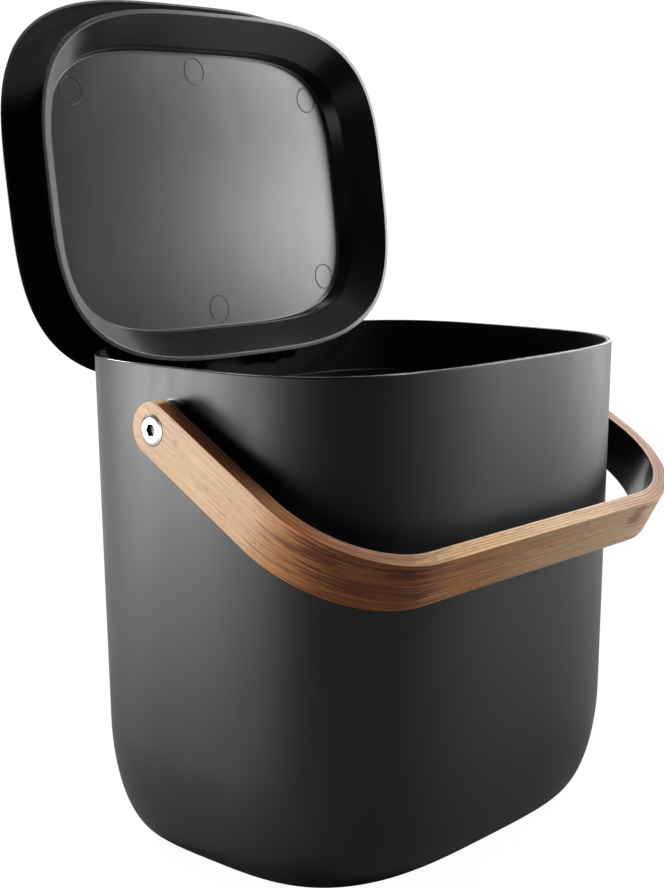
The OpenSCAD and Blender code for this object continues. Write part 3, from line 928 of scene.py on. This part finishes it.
def bamboo(name, number):
    """Oiled bamboo: slivers of different tone, long fibres, thin dark lines, short dark bundles, ragged
    stains about the cane's joints and glue lines at the edges. Light and shade are painted into the tone
    along the bow: painted shade over the left bend, a painted sheen on the faces of the arms, a painted
    highlight on the cut edges along the bar and painted shade on the arms' cut edges. The innermost
    face is made near black."""
    n = Nodes(name)
    strip = n.coords(attribute="strip")
    moved = n.vector_math("ADD", strip, (41.0 * number, 13.0 * number, 0))

    def fibre(along, scale, detail, rough, distortion=0.0):
        return n.noise(n.vector_math("MULTIPLY", moved, (along, 1, 1)), scale, detail, rough, distortion)

    slivers = fibre(0.007, 0.33, 2.0, 0.5, 0.3)
    streaks = fibre(0.012, 2.3, 1.5, 0.6, 0.05)
    lines = fibre(0.009, 1.7, 1.0, 0.5)
    fine = fibre(0.03, 2.9, 3.0, 0.6)
    bundles = fibre(0.075, 2.3, 2.0, 0.5)
    ragged = n.sum(fibre(0.03, 0.9, 4.0, 0.7), -0.5)
    where = n.noise(n.vector_math("MULTIPLY", moved, (0.35, 0.8, 0.8)), 0.1, 2.0)
    grain = n.sum(n.scale(streaks, 0.75), n.scale(fine, 0.25))

    along, across, below = n.axes(strip)
    run = n.span(along, 0.0, 1.0, 0.0, BOW_RUN / MM)
    cut = n.span(n.absolute(across), 0.0, 1.0, *[(STRIP_W / 2 - inside) / MM for inside in CUT_BAND])
    face = n.span(cut, 1.0, 0.0)

    wood = n.ramp(grain, WOOD_TONES)
    wood = n.mix(n.ramp(slivers, [(0.4, 0.0), (0.6, 0.5)]), wood, SLIVER_BROWN)
    # Painted shade: a warmer tone over the left bend and the left half of the bar
    wood = n.darken(n.ramp(run, SHADE_WARM_BEND), wood, SHADE_WARM)
    # Painted sheen on the faces, faint on the left arm and strongest towards the right end
    wood = n.mix(n.scale(face, n.ramp(run, SHEEN_PALE_ARMS)), wood, SHEEN_PALE)
    wood = n.darken(n.ramp(lines, [(0.44, 0.0), (0.48, 0.27), (0.5, 0.27), (0.54, 0.0)]), wood, LINE_BROWN)
    # Painted highlight on the cut edges along the bends and the bar
    wood = n.mix(n.scale(cut, n.ramp(run, HIGHLIGHT_CUT)), wood, CUT_HIGHLIGHT)
    # Painted shade on the cut edges of the right bend and arm
    wood = n.darken(n.scale(cut, n.ramp(run, SHADE_CUT_RIGHT)), wood, CUT_SHADE_RIGHT)
    # Painted shade on the cut edges of the left arm
    wood = n.darken(n.scale(cut, n.ramp(run, SHADE_CUT_LEFT)), wood, CUT_SHADE_LEFT)
    bundle = n.scale(n.ramp(bundles, [(0.6, 0.0), (0.65, 1.0)]), n.ramp(where, [(0.42, 0.15), (0.6, 0.85)]))
    wood = n.mix(bundle, wood, BUNDLE_BROWN)
    wood = stained(n, wood, strip, ragged)
    wood = glue_lines(n, wood, below, number)
    rough = n.span(fine, 0.52, 0.38)
    if number == PLIES:
        inner = n.span(below, 0.0, 1.0, *[(BOW_DEPTH - inside) / MM for inside in INNER_BAND])
        wood = n.mix(inner, wood, INNER_BLACK)
        rough = n.mix(inner, rough, (INNER_ROUGH,) * 3)
    n.link(wood, n.bsdf.inputs["Base Color"])
    n.link(rough, n.bsdf.inputs["Roughness"])
    n.link(n.bump(n.sum(grain, n.scale(bundles, 0.5)), 0.07 * MM, 0.5), n.bsdf.inputs["Normal"])
    n.bsdf.inputs["Specular IOR Level"].default_value = 1.0 if number == PLIES else 0.4
    return n.material


# Painted shade in the screw's hexagonal socket
SOCKET_SHADE = (0.028, 0.028, 0.03)
# Distances from the screw's axis, and depths below its face, between which the socket's painted shade fades
# out
SOCKET_SHADE_EDGE = (2.7 * MM, 2.8 * MM)
SOCKET_SHADE_FADE = (0.3 * MM, 0.2 * MM)


def turned_metal(name, colour, rough, socket=False):
    """Turned metal: fine rings from the lathe and a few dull patches. A screw's socket gets painted shade in
    its recess.
    """
    n = Nodes(name)
    rings = n.noise(n.coords((0.2, 1, 1)), 3.2, 4.0, 0.6)
    patches = n.noise(n.coords(), 0.5, 3.0)
    tone = n.mix(n.ramp(patches, [(0.4, 0.0), (0.7, 0.3)]), colour, [c * 0.8 for c in colour])
    if socket:
        off = n.vector_math("MULTIPLY", n.vector_math("SUBTRACT", n.coords(), PIVOT / MM), (0, 1, 1))
        near = n.span(n.length(off), 1.0, 0.0, *[radius / MM for radius in SOCKET_SHADE_EDGE])
        out = n.absolute(n.axes(n.coords())["X"])
        deep = n.span(out, 1.0, 0.0, *[(HEAD_FACE - depth) / MM for depth in SOCKET_SHADE_FADE])
        # Painted shade: the socket's recess is darkened
        tone = n.mix(n.scale(near, deep), tone, SOCKET_SHADE)
    n.link(tone, n.bsdf.inputs["Base Color"])
    n.bsdf.inputs["Metallic"].default_value = 1.0
    n.link(n.span(rings, rough * 0.8, rough * 1.3), n.bsdf.inputs["Roughness"])
    n.link(n.bump(rings, 0.01 * MM, 0.4), n.bsdf.inputs["Normal"])
    return n.material


def paint(obj, material):
    obj.data.materials.clear()
    obj.data.materials.append(material)


# --- the pieces, dressed --------------------------------------------------------------------------

def dress():
    bin_plastic = moulded_plastic("bin_plastic", **MATTE, rim=BIN_H)
    lid_plastic = moulded_plastic("lid_plastic", **MATTE)
    liner_plastic = moulded_plastic("liner_plastic", **SMOOTH)
    steel = turned_metal("steel", (0.6, 0.6, 0.62), 0.3)
    screw_steel = turned_metal("screw_steel", (0.76, 0.76, 0.76), 0.27, socket=True)
    brass = turned_metal("brass", (0.72, 0.52, 0.22), 0.3)

    for obj, body, slot, material, node in (
            (bin_body(), "caddy", "bin_plastic", bin_plastic, "bin_body"),
            (bag_ring(), "caddy", "ring_plastic", bin_plastic, "bag_ring"),
            (lid_cover(), "lid", "lid_plastic", lid_plastic, "lid_cover"),
            (lid_liner(), "lid", "liner_plastic", liner_plastic, "lid_liner"),
            (screw(-1), "caddy", "screw_steel", screw_steel, "handle_screw_left"),
            (screw(1), "caddy", "screw_steel", screw_steel, "handle_screw_right")):
        paint(obj, material)
        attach(obj, body)
        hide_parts(node)

    for number in range(1, PLIES + 1):
        obj = ply(number)
        paint(obj, bamboo(f"bamboo_{number}", number))
        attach(obj, "handle")
        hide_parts(f"handle_ply_{number}")

    for name, material in (("hinge_pin", steel), ("handle_bush", steel), ("handle_insert", brass),
                           ("handle_washer", lid_plastic)):
        for side in ("left", "right"):
            paint(frame["nodes"][f"{name}_{side}"], material)


# --- floor, light and camera ------------------------------------------------------------------------

# How bright the room and the backdrop are, the way to the backdrop, and the cosines at its edge
ROOM = 0.012
BACKDROP = 1.3
BACKDROP_TOWARDS = (0.707, 0.707, 0.0)
BACKDROP_EDGE = (0.66, 0.82)
LEFT_TOWARDS = (-0.707, 0.707, 0.0)
# Distances, in metres, over which the floor turns white for glossy rays, behind and to the left
WHITE_BEHIND = (0.35, 0.6)
WHITE_LEFT = (0.2, 0.45)
FLOOR_HALF = 6.0
FLOOR_GREY = 0.3
FLOOR_GLOW = 1.1
# Share of the paper, and so of its shadow, that the camera sees near the object, and where it fades out
SHADOW = 0.12
SHADOW_FADE = (0.4, 1.2)
SOFTBOX_H = 0.3
# Softboxes: name, bearing, distance, height, the height on the axis that they face, width and power
SOFTBOXES = (
    ("right_low", -30, 1.0, 0.16, 0.16, 0.27, 1.19),
    ("right_middle", -30, 1.0, 0.41, 0.41, 0.27, 2.9),
    ("right_high", -30, 1.0, 0.7, 0.7, 0.27, 3.5),
    ("right_front", -45, 1.0, 0.4, 0.4, 0.27, 0.15),
    ("right_side", -15, 1.0, 0.16, 0.16, 0.27, 1.13),
    ("right_back", 15, 1.0, 0.46, 0.46, 0.27, 1.6),
    ("right_back_high", 0, 1.0, 0.85, 0.76, 0.27, 2.5),
    ("over_right", -45, 0.8, 1.25, 0.2, 0.27, 8.8),
    ("over_back", 90, 0.8, 1.25, 0.2, 0.27, 7),
    ("left", 135, 1.0, 0.1, 0.12, 0.27, 6.6),
    ("left_front", 165, 1.0, 0.1, 0.12, 0.27, 2.5),
    ("left_back_strip", 98.8, 1.01, 0.76, 0.76, 0.08, 16))

# The camera as it was fitted to the outlines in the photo; its place is in metres
CAMERA_AT = (-0.54571, -0.47366, 0.29265)
CAMERA_RIGHT = Vector((0.66884, -0.74339, -0.00457))
CAMERA_UP = Vector((0.12815, 0.10925, 0.98572))
CAMERA_LENS = 65.25
CAMERA_SENSOR = 36


def smooth_step(tree, value, low, high):
    node = tree.nodes.new("ShaderNodeMapRange")
    node.interpolation_type = "SMOOTHSTEP"
    node.inputs["From Min"].default_value = low
    node.inputs["From Max"].default_value = high
    tree.links.new(value, node.inputs["Value"])
    return node.outputs["Result"]


def dot(tree, vector, towards):
    node = tree.nodes.new("ShaderNodeVectorMath")
    node.operation = "DOT_PRODUCT"
    node.inputs[1].default_value = towards
    tree.links.new(vector, node.inputs[0])
    return node.outputs["Value"]


def calculate(tree, operation, *values):
    node = tree.nodes.new("ShaderNodeMath")
    node.operation = operation
    for socket, value in zip(node.inputs, values):
        if isinstance(value, bpy.types.NodeSocket):
            tree.links.new(value, socket)
        else:
            socket.default_value = value
    return node.outputs[0]


def pale_floor():
    """A white floor for the camera that keeps a faint shadow. Behind the object and to its left glossy
    rays see it white as well; elsewhere they and all others meet it as dull paper."""
    bm = bmesh.new()
    bmesh.ops.create_grid(bm, x_segments=1, y_segments=1, size=FLOOR_HALF)
    floor = new_object("floor", bm, smooth=False)
    n = Nodes("floor_paper")
    n.bsdf.inputs["Base Color"].default_value = (FLOOR_GREY, FLOOR_GREY, FLOOR_GREY, 1)
    n.bsdf.inputs["Roughness"].default_value = 0.95
    n.bsdf.inputs["Specular IOR Level"].default_value = 0.0
    glow = n.add("ShaderNodeEmission", Strength=FLOOR_GLOW)
    path = n.add("ShaderNodeLightPath")
    place = n.add("ShaderNodeTexCoord").outputs["Object"]
    behind = smooth_step(n.tree, dot(n.tree, place, BACKDROP_TOWARDS), *WHITE_BEHIND)
    left = smooth_step(n.tree, dot(n.tree, place, LEFT_TOWARDS), *WHITE_LEFT)
    white = calculate(n.tree, "MAXIMUM", behind, left)
    reflected = calculate(n.tree, "MULTIPLY", path.outputs["Is Glossy Ray"], white)
    far = smooth_step(n.tree, n.length(place), *SHADOW_FADE)
    plain_share = calculate(n.tree, "MULTIPLY_ADD", far, SHADOW, 1 - SHADOW)
    seen = calculate(n.tree, "MULTIPLY", path.outputs["Is Camera Ray"], plain_share)
    mixed = n.add("ShaderNodeMixShader")
    n.link(calculate(n.tree, "MAXIMUM", seen, reflected), mixed.inputs["Fac"])
    n.link(n.bsdf.outputs[0], mixed.inputs[1])
    n.link(glow.outputs[0], mixed.inputs[2])
    n.link(mixed.outputs[0], n.out.inputs["Surface"])
    floor.data.materials.append(n.material)


def white_world():
    """White for the camera. Everything else meets a white backdrop low behind the object, in a dim room."""
    world = bpy.data.worlds.new("studio")
    world.use_nodes = True
    bpy.context.scene.world = world
    tree = world.node_tree
    tree.nodes.clear()
    where = tree.nodes.new("ShaderNodeTexCoord").outputs["Generated"]
    towards = smooth_step(tree, dot(tree, where, BACKDROP_TOWARDS), *BACKDROP_EDGE)
    backdrop = calculate(tree, "MULTIPLY_ADD", towards, BACKDROP, ROOM)
    mixed = tree.nodes.new("ShaderNodeMixShader")
    lit, seen = [tree.nodes.new("ShaderNodeBackground") for _ in range(2)]
    for background, socket in ((lit, 1), (seen, 2)):
        background.inputs["Color"].default_value = (1, 1, 1, 1)
        tree.links.new(background.outputs[0], mixed.inputs[socket])
    tree.links.new(backdrop, lit.inputs["Strength"])
    tree.links.new(tree.nodes.new("ShaderNodeLightPath").outputs["Is Camera Ray"], mixed.inputs["Fac"])
    tree.links.new(mixed.outputs[0], tree.nodes.new("ShaderNodeOutputWorld").inputs["Surface"])


def studio_lights():
    for name, bearing, away, height, aim, width, power in SOFTBOXES:
        light = bpy.data.lights.new(name, "AREA")
        light.shape = "RECTANGLE"
        light.size = width
        light.size_y = SOFTBOX_H
        light.energy = power
        angle = math.radians(bearing)
        place = Vector((away * math.cos(angle), away * math.sin(angle), height))
        obj = bpy.data.objects.new(name, light)
        obj.location = place
        obj.rotation_euler = (Vector((0, 0, aim)) - place).to_track_quat("-Z", "Z").to_euler()
        obj.visible_camera = False
        bpy.context.scene.collection.objects.link(obj)


def camera():
    data = bpy.data.cameras.new("camera")
    data.sensor_width = CAMERA_SENSOR
    data.lens = CAMERA_LENS
    turn = Matrix((CAMERA_RIGHT, CAMERA_UP, CAMERA_RIGHT.cross(CAMERA_UP))).transposed()
    obj = bpy.data.objects.new("camera", data)
    obj.matrix_world = Matrix.Translation(CAMERA_AT) @ turn.to_4x4()
    bpy.context.scene.collection.objects.link(obj)
    bpy.context.scene.camera = obj


camera()
dress()
pale_floor()
white_world()
studio_lights()
bpy.context.scene.view_settings.view_transform = "Standard"
